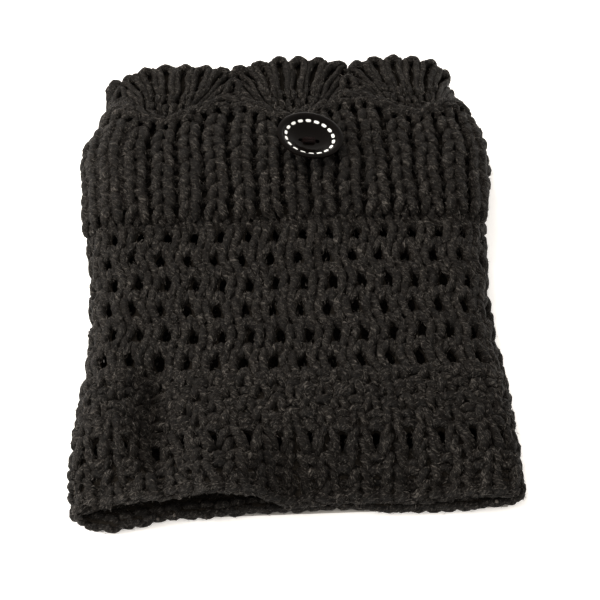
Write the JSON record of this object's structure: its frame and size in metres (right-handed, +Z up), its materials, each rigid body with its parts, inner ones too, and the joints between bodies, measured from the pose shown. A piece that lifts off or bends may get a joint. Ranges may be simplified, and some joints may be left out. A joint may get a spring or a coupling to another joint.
{
  "type": "knitted boot cuff leg warmer",
  "caption": "Short chunky knitted leg warmer lying flat, with a scalloped fan edge, a ribbed band, an openwork body, an eyelet hem and a dark round button.",
  "frame": {"origin": "on the surface it lies on, under the middle of the cuff", "axes": "+X to the right as seen from above with the hem nearest, +Y along the tube from the hem to the scalloped edge, +Z up from the surface"},
  "size_m": [0.1639, 0.218, 0.0308],
  "materials": {
    "yarn": "dark charcoal-brown chunky plied yarn, soft and slightly fuzzy",
    "button": "polished black",
    "inlay": "white filled dashes",
    "thread": "dark reddish-brown sewing yarn"
  },
  "bodies": {
    "root": {"fan_edging": "yarn", "rib_band": "yarn", "openwork_front": "yarn", "openwork_back": "yarn", "dense_band": "yarn", "hem_front": "yarn", "hem_back": "yarn", "button": "button"}
  },
  "joints": []
}
